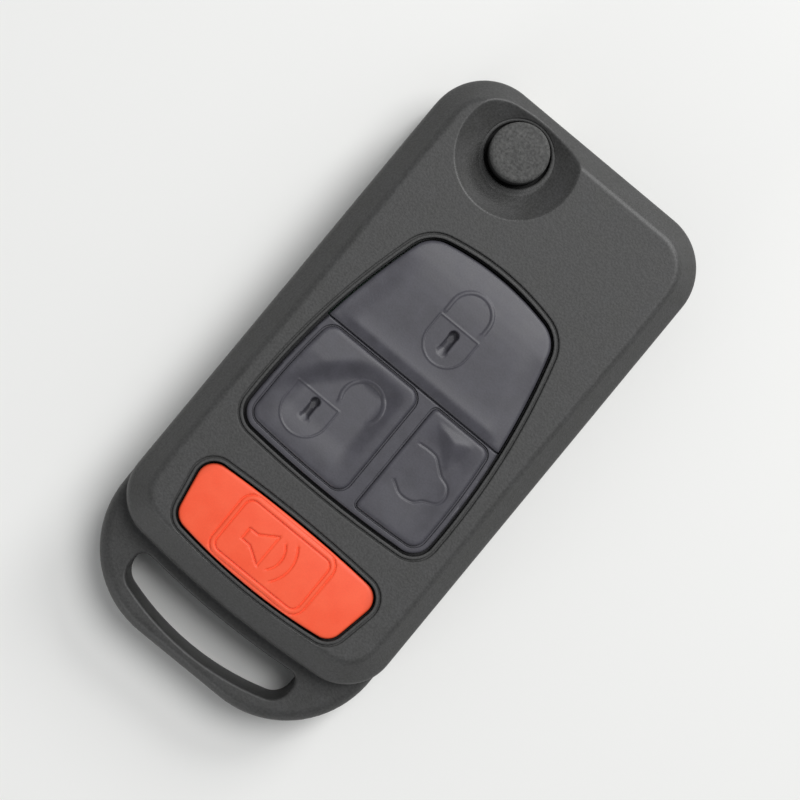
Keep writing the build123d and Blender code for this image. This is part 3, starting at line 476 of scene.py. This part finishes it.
def lockHeight(x, y):
    at = np.array(lock["crest"])
    fine = np.linspace(0, at[-1, 0], lock["samples"])
    rough = np.pad(np.interp(fine, at[:, 0], at[:, 1]), lock["blur"] // 2, mode="edge")
    weights = np.hanning(lock["blur"])
    smooth = np.convolve(rough, weights / weights.sum(), mode="valid")
    run = y - splitY
    side = -np.max([planDistance({"sides": [arc], "corners": []}, x, y) for arc in padSides[:2]], axis=0)
    crest = np.interp(run, fine, smooth)
    low = np.minimum(crest, np.interp(run, lock["shoulderAt"], lock["shoulder"]))
    along = softStep((run - lock["fallStart"]) / lock["fallGrows"])
    along = along * softStep((lock["fallEnd"] - run) / lock["fallFades"])
    fall = lock["fall"] * (1 - softStep(side / lock["fallWide"])) * along
    rise = softStep((side - lock["shoulderFrom"]) / lock["shoulderWide"])
    return caseTop + low + (crest - low) * rise - fall


# Strokes of the symbols: half is half their width, soft the width of their flanks, in mm
bowLine = {"half": 0.28, "soft": 0.13, "height": 0.08}
bodyLine = {"half": 0.15, "soft": 0.14, "height": 0.07}
lockIcon = [
    {**bowLine, "points": [(2.53, 13.6)] + arcPoints(0.0, 14.39, 2.53, 0, 180, 25) + [(-2.53, 13.0)]},
    {**bodyLine, "points": [(-2.75, 12.43), (2.8, 12.43), (2.8, 10.2)]
     + arcPoints(0.02, 10.2, 2.78, 0, -180, 21)[1:] + [(-2.75, 12.43)]},
    {"points": [(0.05, 11.3)], "half": 0.66, "soft": 0.18, "height": -1.0},
    {"points": [(0.07, 10.9), (0.07, 9.55)], "half": 0.6, "soft": 0.18, "height": -1.0},
]
lockSpec = {**skin, "body": "lock_button", "node": "lock_key"}
mouldSkin("lock_key_skin", lockPlan, lockHeight, lockSpec, lockIcon)


# How deep a point lies in a dish: 1 on its floor, 0 outside its walls. A wall is (normal x, normal y,
# reach from the middle of the dish, half its width).
def dishShare(x, y, dish):
    share = np.ones(np.shape(x))
    for nx, ny, reach, half in dish["walls"]:
        out = nx * (x - dish["middle"][0]) + ny * (y - dish["middle"][1])
        share = share * softStep((reach + half - out) / (2 * half))
    return share


# Unlock key: a raised block with a deep dish, whose upper left wall runs aslant under a raised corner
keyCut = 0.05    # the skins of the lower keys stand this much inside the holes of the web
unlock = {"rightX": 1.67, "cornerR": 1.6, "planX": -5.3, "planDown": 7.5, "top": 0.48,
          "cornerSlope": 0.085, "cornerReach": 4.0}
unlockDish = {"middle": (-4.2, rowTopY - 7.1), "depth": 0.5, "tilt": 0.06,
              "walls": [(1, 0, 3.8, 1.1), (0, 1, 5.0, 1.2), (0, -1, 4.6, 2.0), (-1, 0, 5.9, 1.3),
                        (-0.72, 0.69, 4.6, 1.3)]}
unlockPlan = grownPlan({
    "sides": [lowerSides[1], lowerSides[3],
              ("line", 1.0, 0.0, unlock["rightX"]), ("line", 0.0, 1.0, rowTopY)],
    "corners": [(0, 1, lowerCornerR)] + [(*pair, unlock["cornerR"]) for pair in ((1, 2), (2, 3), (0, 3))],
    "middle": (unlock["planX"], rowTopY - unlock["planDown"]),
}, -keyCut)


def unlockHeight(x, y):
    nx, ny, reach, half = unlockDish["walls"][-1]
    aslant = nx * (x - unlockDish["middle"][0]) + ny * (y - unlockDish["middle"][1]) - reach
    corner = unlock["cornerSlope"] * np.minimum(rowTopY - y, unlock["cornerReach"])
    corner = corner * softStep((aslant + half) / (2 * half))
    floorDrop = unlockDish["depth"] + unlockDish["tilt"] * (y - unlockDish["middle"][1])
    return caseTop + unlock["top"] + corner - (floorDrop + corner) * dishShare(x, y, unlockDish)


unlockIcon = [
    {**bowLine, "points": arcPoints(-3.14, -1.17, 2.5, -28, 208, 31)},
    {**bodyLine, "points": [(-10.4, -3.58), (-4.52, -3.58), (-4.52, -5.9)]
     + arcPoints(-7.46, -5.9, 2.94, 0, -180, 21)[1:] + [(-10.4, -3.58)]},
    {"points": [(-7.27, -4.45)], "half": 0.62, "soft": 0.18, "height": -0.7},
    {"points": [(-7.27, -4.7), (-7.27, -6.2)], "half": 0.52, "soft": 0.18, "height": -0.7},
]
unlockSpec = {**skin, "body": "unlock_button", "node": "unlock_key", "edge": 0.36}
mouldSkin("unlock_key_skin", unlockPlan, unlockHeight, unlockSpec, unlockIcon)

# Boot key: a raised block with a shallow dish, and a wedge with three faces that points down into it. The
# wedge's power sets how sharp the ridges between its faces are.
trunk = {"leftX": 3.54, "leftR": 0.6, "rightR": 1.2, "planX": 7.9, "planDown": 7.5, "top": 0.5}
trunkDish = {"middle": (7.5, rowTopY - 7.3), "depth": 0.22,
             "walls": [(1, 0, 3.0, 1.4), (0, 1, 5.0, 1.4), (0, -1, 4.0, 3.2), (-1, 0, 2.9, 1.4)]}
wedge = {"peak": (7.8, rowTopY - 1.8), "height": 0.42, "power": 6,
         "corners": [(9.98, rowTopY - 0.5), (4.64, rowTopY - 1.1), (9.24, rowTopY - 5.2)]}
trunkPlan = grownPlan({
    "sides": [lowerSides[0], lowerSides[3],
              ("line", -1.0, 0.0, -trunk["leftX"]), ("line", 0.0, 1.0, rowTopY)],
    "corners": [(0, 1, lowerCornerR), (1, 2, trunk["leftR"]), (2, 3, trunk["leftR"]),
                (0, 3, trunk["rightR"])],
    "middle": (trunk["planX"], rowTopY - trunk["planDown"]),
}, -keyCut)


def trunkHeight(x, y):
    px, py = wedge["peak"]
    steep = np.zeros(np.shape(x))
    for (ax, ay), (bx, by) in zip(wedge["corners"], wedge["corners"][1:] + wedge["corners"][:1]):
        nx, ny = by - ay, ax - bx
        share = (nx * (x - px) + ny * (y - py)) / (nx * (ax - px) + ny * (ay - py))
        steep += np.maximum(share, 0) ** wedge["power"]
    raised = wedge["height"] * np.maximum(1 - steep ** (1 / wedge["power"]), 0)
    return caseTop + trunk["top"] - trunkDish["depth"] * dishShare(x, y, trunkDish) + raised


bootOutline = [(4.95, -0.49), (6.1, -0.4), (7.26, -0.5), (8.21, -1.19), (9.15, -1.89), (10.36, -2.35),
               (11.0, -3.47), (10.7, -4.6), (9.27, -5.37), (8.43, -6.15), (7.36, -6.4), (6.55, -6.32),
               (5.94, -6.0), (5.3, -5.6)]
trunkIcon = [{"points": smoothLine(bootOutline, 5), "half": 0.2, "soft": 0.2, "height": -0.13}]
trunkSpec = {**skin, "body": "trunk_button", "node": "trunk_key", "edge": 0.36}
mouldSkin("trunk_key_skin", trunkPlan, trunkHeight, trunkSpec, trunkIcon)

# Alarm key: slightly crowned, with a raised frame between two fine grooves and a horn in it. A crown is the
# square of the distance from the middle at which the key has fallen by 1 mm, in mm2.
panic = {"topY": frontY - 54.62, "topHalf": 12.78, "topSag": 0.5, "bottomY": frontY - 63.59,
         "bottomHalf": 11.31, "bottomSag": 0.83, "cornerR": 2.0, "grow": 0.08, "top": 0.45,
         "crownX": 220, "crownY": 120}
panicTopR = (panic["topHalf"] ** 2 + panic["topSag"] ** 2) / (2 * panic["topSag"])
panicBottomR = (panic["bottomHalf"] ** 2 + panic["bottomSag"] ** 2) / (2 * panic["bottomSag"])
panicMidY = (panic["topY"] + panic["bottomY"]) / 2
panicEnds = (panic["bottomHalf"], panic["bottomY"] + panic["bottomSag"],
             panic["topHalf"], panic["topY"] - panic["topSag"])
panicPlan = {
    "sides": [("arc", 0.0, panic["topY"] - panicTopR, panicTopR),
              ("arc", 0.0, panic["bottomY"] + panicBottomR, panicBottomR),
              lineSide(*panicEnds), lineSide(-panicEnds[2], panicEnds[3], -panicEnds[0], panicEnds[1])],
    "corners": [(*pair, panic["cornerR"]) for pair in ((0, 2), (1, 2), (1, 3), (0, 3))],
    "middle": (0.0, panicMidY),
}


def panicHeight(x, y):
    return caseTop + panic["top"] - x ** 2 / panic["crownX"] - (y - panicMidY) ** 2 / panic["crownY"]


grooveLine = {"half": 0.13, "soft": 0.12, "height": -0.2}
hornLine = {"half": 0.17, "soft": 0.13, "height": -0.2}
hornShapes = [
    [(-3.9, 0.75), (-2.7, 0.75), (-0.6, 2.1), (-0.6, -2.1), (-2.7, -0.75), (-3.9, -0.75), (-3.9, 0.75)],
    arcPoints(-1.4, 0.0, 2.6, 42, -42, 9),
    arcPoints(-1.4, 0.0, 4.0, 38, -38, 11),
]
panicIcon = [
    {**grooveLine, "points": roundedBox(0.0, panicMidY, 6.7, 4.15, 1.6)},
    {**grooveLine, "points": roundedBox(0.0, panicMidY, 6.05, 3.5, 1.0)},
    {"points": roundedBox(0.0, panicMidY, 6.37, 3.82, 1.3), "half": 0.24, "soft": 0.1, "height": 0.05},
]
panicIcon += [{**hornLine, "points": [(x, y + panicMidY) for x, y in shape]} for shape in hornShapes]
panicSpec = {**skin, "slot": "panic_rubber", "body": "panic_button", "node": "panic_key", "edge": 0.3}
mouldSkin("panic_key_skin", grownPlan(panicPlan, panic["grow"]), panicHeight, panicSpec, panicIcon)


# Side walls of a ring or strip: each of its lines joins the next, and the last one the first
def sideFaces(lines, count, closed=True):
    faces = []
    for a in range(lines):
        b = (a + 1) % lines
        for k in range(count if closed else count - 1):
            after = (k + 1) % count
            faces.append((a * count + k, a * count + after, b * count + after, b * count + k))
    return faces


# Floors of the grooves round the lower keys: the rubber closes the gap just below the top of the web, so
# the grooves look shallow and soft. Room is the play that the moving key has beside its floor.
groove = {"slot": "key_rubber", "body": "case", "reach": 0.25, "room": 0.012, "thick": 0.2, "level": 0.24,
          "spacing": 0.3, "crestHalf": 11.6, "crestPoints": 24, "slopeStep": 0.001}
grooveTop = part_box("keypad")[1].z / mm - groove["level"]


def grooveFloor(name, rim, outward, closed):
    near, far = rim + outward * groove["room"], rim + outward * groove["reach"]
    count, foot = len(rim), grooveTop - groove["thick"]
    verts = [(x, y, z) for line, z in ((near, grooveTop), (far, grooveTop), (far, foot), (near, foot))
             for x, y in line]
    faces = sideFaces(4, count, closed)
    if not closed:
        faces += [(0, count, 2 * count, 3 * count), (4 * count - 1, 3 * count - 1, 2 * count - 1, count - 1)]
    addPiece(name, verts, faces, groove)


for name, plan in (("unlock_groove_floor", unlockPlan), ("trunk_groove_floor", trunkPlan)):
    rim = planLoop(plan, groove["spacing"])
    rimX, rimY, step = rim[:, 0], rim[:, 1], groove["slopeStep"]
    slope = np.column_stack([planDistance(plan, rimX + step, rimY) - planDistance(plan, rimX - step, rimY),
                             planDistance(plan, rimX, rimY + step) - planDistance(plan, rimX, rimY - step)])
    grooveFloor(name, rim, slope / np.hypot(slope[:, 0], slope[:, 1])[:, None], True)
count = groove["crestPoints"]
splitRim = np.column_stack([np.linspace(-groove["crestHalf"], groove["crestHalf"], count),
                            np.full(count, splitY - lock["splitGap"])])
grooveFloor("lock_groove_floor", splitRim, np.tile((0.0, -1.0), (count, 1)), False)

# A turned piece: its outline, pairs of radius and height in mm, goes round the button's axis as a closed
# ring
turning = {"steps": 96, "sharpAngle": math.radians(40)}
buttonLow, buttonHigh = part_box("release_button")
buttonPlace = ((buttonLow.x + buttonHigh.x) / 2 / mm, (buttonLow.y + buttonHigh.y) / 2 / mm)


def turnPiece(name, outline, spec):
    cx, cy = buttonPlace
    steps = turning["steps"]
    turn = [2 * math.pi * k / steps for k in range(steps)]
    verts = [(cx + r * math.cos(t), cy + r * math.sin(t), z) for r, z in outline for t in turn]
    piece = addPiece(name, verts, sideFaces(len(outline), steps), spec)
    piece.data.shade_smooth()
    piece.data.set_sharp_from_angle(angle=turning["sharpAngle"])
    return piece


# Release button: a low dome with a round edge and the flange that holds it under the dish
button = {"finish": "button_plastic", "slot": "case_plastic", "body": "release", "r": 3.46, "edge": 0.5,
          "edgePoints": 7, "dome": 0.06, "domeSteps": ((1.2, 0.01), (2.2, 0.03)), "flangeR": 4.85,
          "flangeThick": 1.2, "bore": 2.5, "roof": 1.4, "pinhole": 0.02}
buttonTop, buttonFoot = buttonHigh.z / mm, buttonLow.z / mm
roofFoot, flangeTop = buttonTop - button["roof"], buttonFoot + button["flangeThick"]
capEdge = [(button["r"] - button["edge"] + button["edge"] * math.sin(t),
            buttonTop - button["dome"] - button["edge"] + button["edge"] * math.cos(t))
           for t in np.linspace(0, math.pi / 2, button["edgePoints"])]
buttonOutline = [(button["pinhole"], buttonTop)]
buttonOutline += [(r, buttonTop - drop) for r, drop in button["domeSteps"]] + capEdge
buttonOutline += [(button["r"], flangeTop), (button["flangeR"], flangeTop), (button["flangeR"], buttonFoot),
                  (button["bore"], buttonFoot), (button["bore"], roofFoot), (button["pinhole"], roofFoot)]
buttonSkin = turnPiece("release_button_skin", buttonOutline, button)
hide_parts("release_button")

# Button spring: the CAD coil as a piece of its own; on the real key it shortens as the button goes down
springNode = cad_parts["button_spring"]
springCoil = bpy.data.objects.new("button_spring_coil", springNode.data.copy())
bpy.context.scene.collection.objects.link(springCoil)
springCoil.matrix_world = springNode.matrix_world.copy()
for holder in springCoil.material_slots:
    holder.material = madeFinishes["spring_steel"]
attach(springCoil, "blade")
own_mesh(springCoil)
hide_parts("button_spring")

# Lip of the dish round the button, with a small round on its upper inner edge and a soft outer one
lip = {"slot": "case_plastic", "body": "case", "inner": 3.86, "outer": 4.45, "level": 1.78, "thick": 0.5,
       "round": 0.12, "roundPart": 0.04, "fadeFrom": 4.25, "fade": 0.03}
lipTop = caseTop - lip["level"]
lipOutline = [(lip["outer"], lipTop - lip["fade"]), (lip["fadeFrom"], lipTop),
              (lip["inner"] + lip["round"], lipTop),
              (lip["inner"] + lip["roundPart"], lipTop - lip["roundPart"]),
              (lip["inner"], lipTop - lip["round"]), (lip["inner"], lipTop - lip["thick"]),
              (lip["outer"], lipTop - lip["thick"])]
turnPiece("dish_lip", lipOutline, lip)

# Floor and light
board = {"half": 1.5, "drop": 0.0001, "colour": "#F3F3F1", "roughness": 0.8}
half = board["half"]
floorMesh = bpy.data.meshes.new("floor")
floorMesh.from_pydata([(-half, -half, 0), (half, -half, 0), (half, half, 0), (-half, half, 0)], [],
                      [(0, 1, 2, 3)])
floor = bpy.data.objects.new("floor", floorMesh)
bpy.context.scene.collection.objects.link(floor)
floor.location.z = -board["drop"]
floorLook = bpy.data.materials.new("pale matt board")
floorLook.use_nodes = True
floorShader = floorLook.node_tree.nodes["Principled BSDF"]
floorShader.inputs["Base Color"].default_value = linearColour(board["colour"])
floorShader.inputs["Roughness"].default_value = board["roughness"]
floorMesh.materials.append(floorLook)

air = {"colour": "#F4F6F8", "strength": 0.28}
world = bpy.data.worlds.new("studio")
world.use_nodes = True
sky = world.node_tree.nodes["Background"]
sky.inputs["Color"].default_value = linearColour(air["colour"])
sky.inputs["Strength"].default_value = air["strength"]
bpy.context.scene.world = world

# Round white lamps that look at the middle of the case, with places and sizes in metres, power in watts
lampTarget = Vector((0, 0, 0.01))
lamps = {
    "main softbox": {"place": (0.14, 0.42, 0.90), "size": 0.56, "power": 5.3},
    "front strip": {"place": (0.10, 0.52, 0.36), "size": 0.24, "power": 1.6},
    "low fill": {"place": (-0.05, -0.36, 0.12), "size": 0.2, "power": 0.25},
}
for name, spec in lamps.items():
    lamp = bpy.data.lights.new(name, "AREA")
    lamp.shape = "DISK"
    lamp.size = spec["size"]
    lamp.energy = spec["power"]
    holder = bpy.data.objects.new(name, lamp)
    bpy.context.scene.collection.objects.link(holder)
    holder.location = spec["place"]
    holder.rotation_mode = "QUATERNION"
    holder.rotation_quaternion = (lampTarget - Vector(spec["place"])).to_track_quat("-Z", "Y")
print("floor and lamps set")

# Camera: straight above the front face, in mm, with its nearest and farthest sight in metres
shot = {"from": (-9.0, -2.25, 260.0), "at": (0.135, 1.94, 10.0), "up": (-0.637, 0.770, 0.0),
        "across": 92.5, "near": 0.01, "far": 10.0}
eye, aim = Vector(shot["from"]) * mm, Vector(shot["at"]) * mm
forward = (aim - eye).normalized()
right = forward.cross(Vector(shot["up"])).normalized()
upward = right.cross(forward)
camera = bpy.data.objects.new("camera", bpy.data.cameras.new("camera"))
bpy.context.scene.collection.objects.link(camera)
camera.matrix_world = Matrix((
    (right.x, upward.x, -forward.x, eye.x),
    (right.y, upward.y, -forward.y, eye.y),
    (right.z, upward.z, -forward.z, eye.z),
    (0, 0, 0, 1),
))
camera.data.angle = 2 * math.atan(shot["across"] * mm / 2 / (aim - eye).length)
camera.data.clip_start = shot["near"]
camera.data.clip_end = shot["far"]
bpy.context.scene.camera = camera
bpy.context.scene.view_settings.view_transform = "Standard"
print("camera set")

bpy.context.view_layer.update()
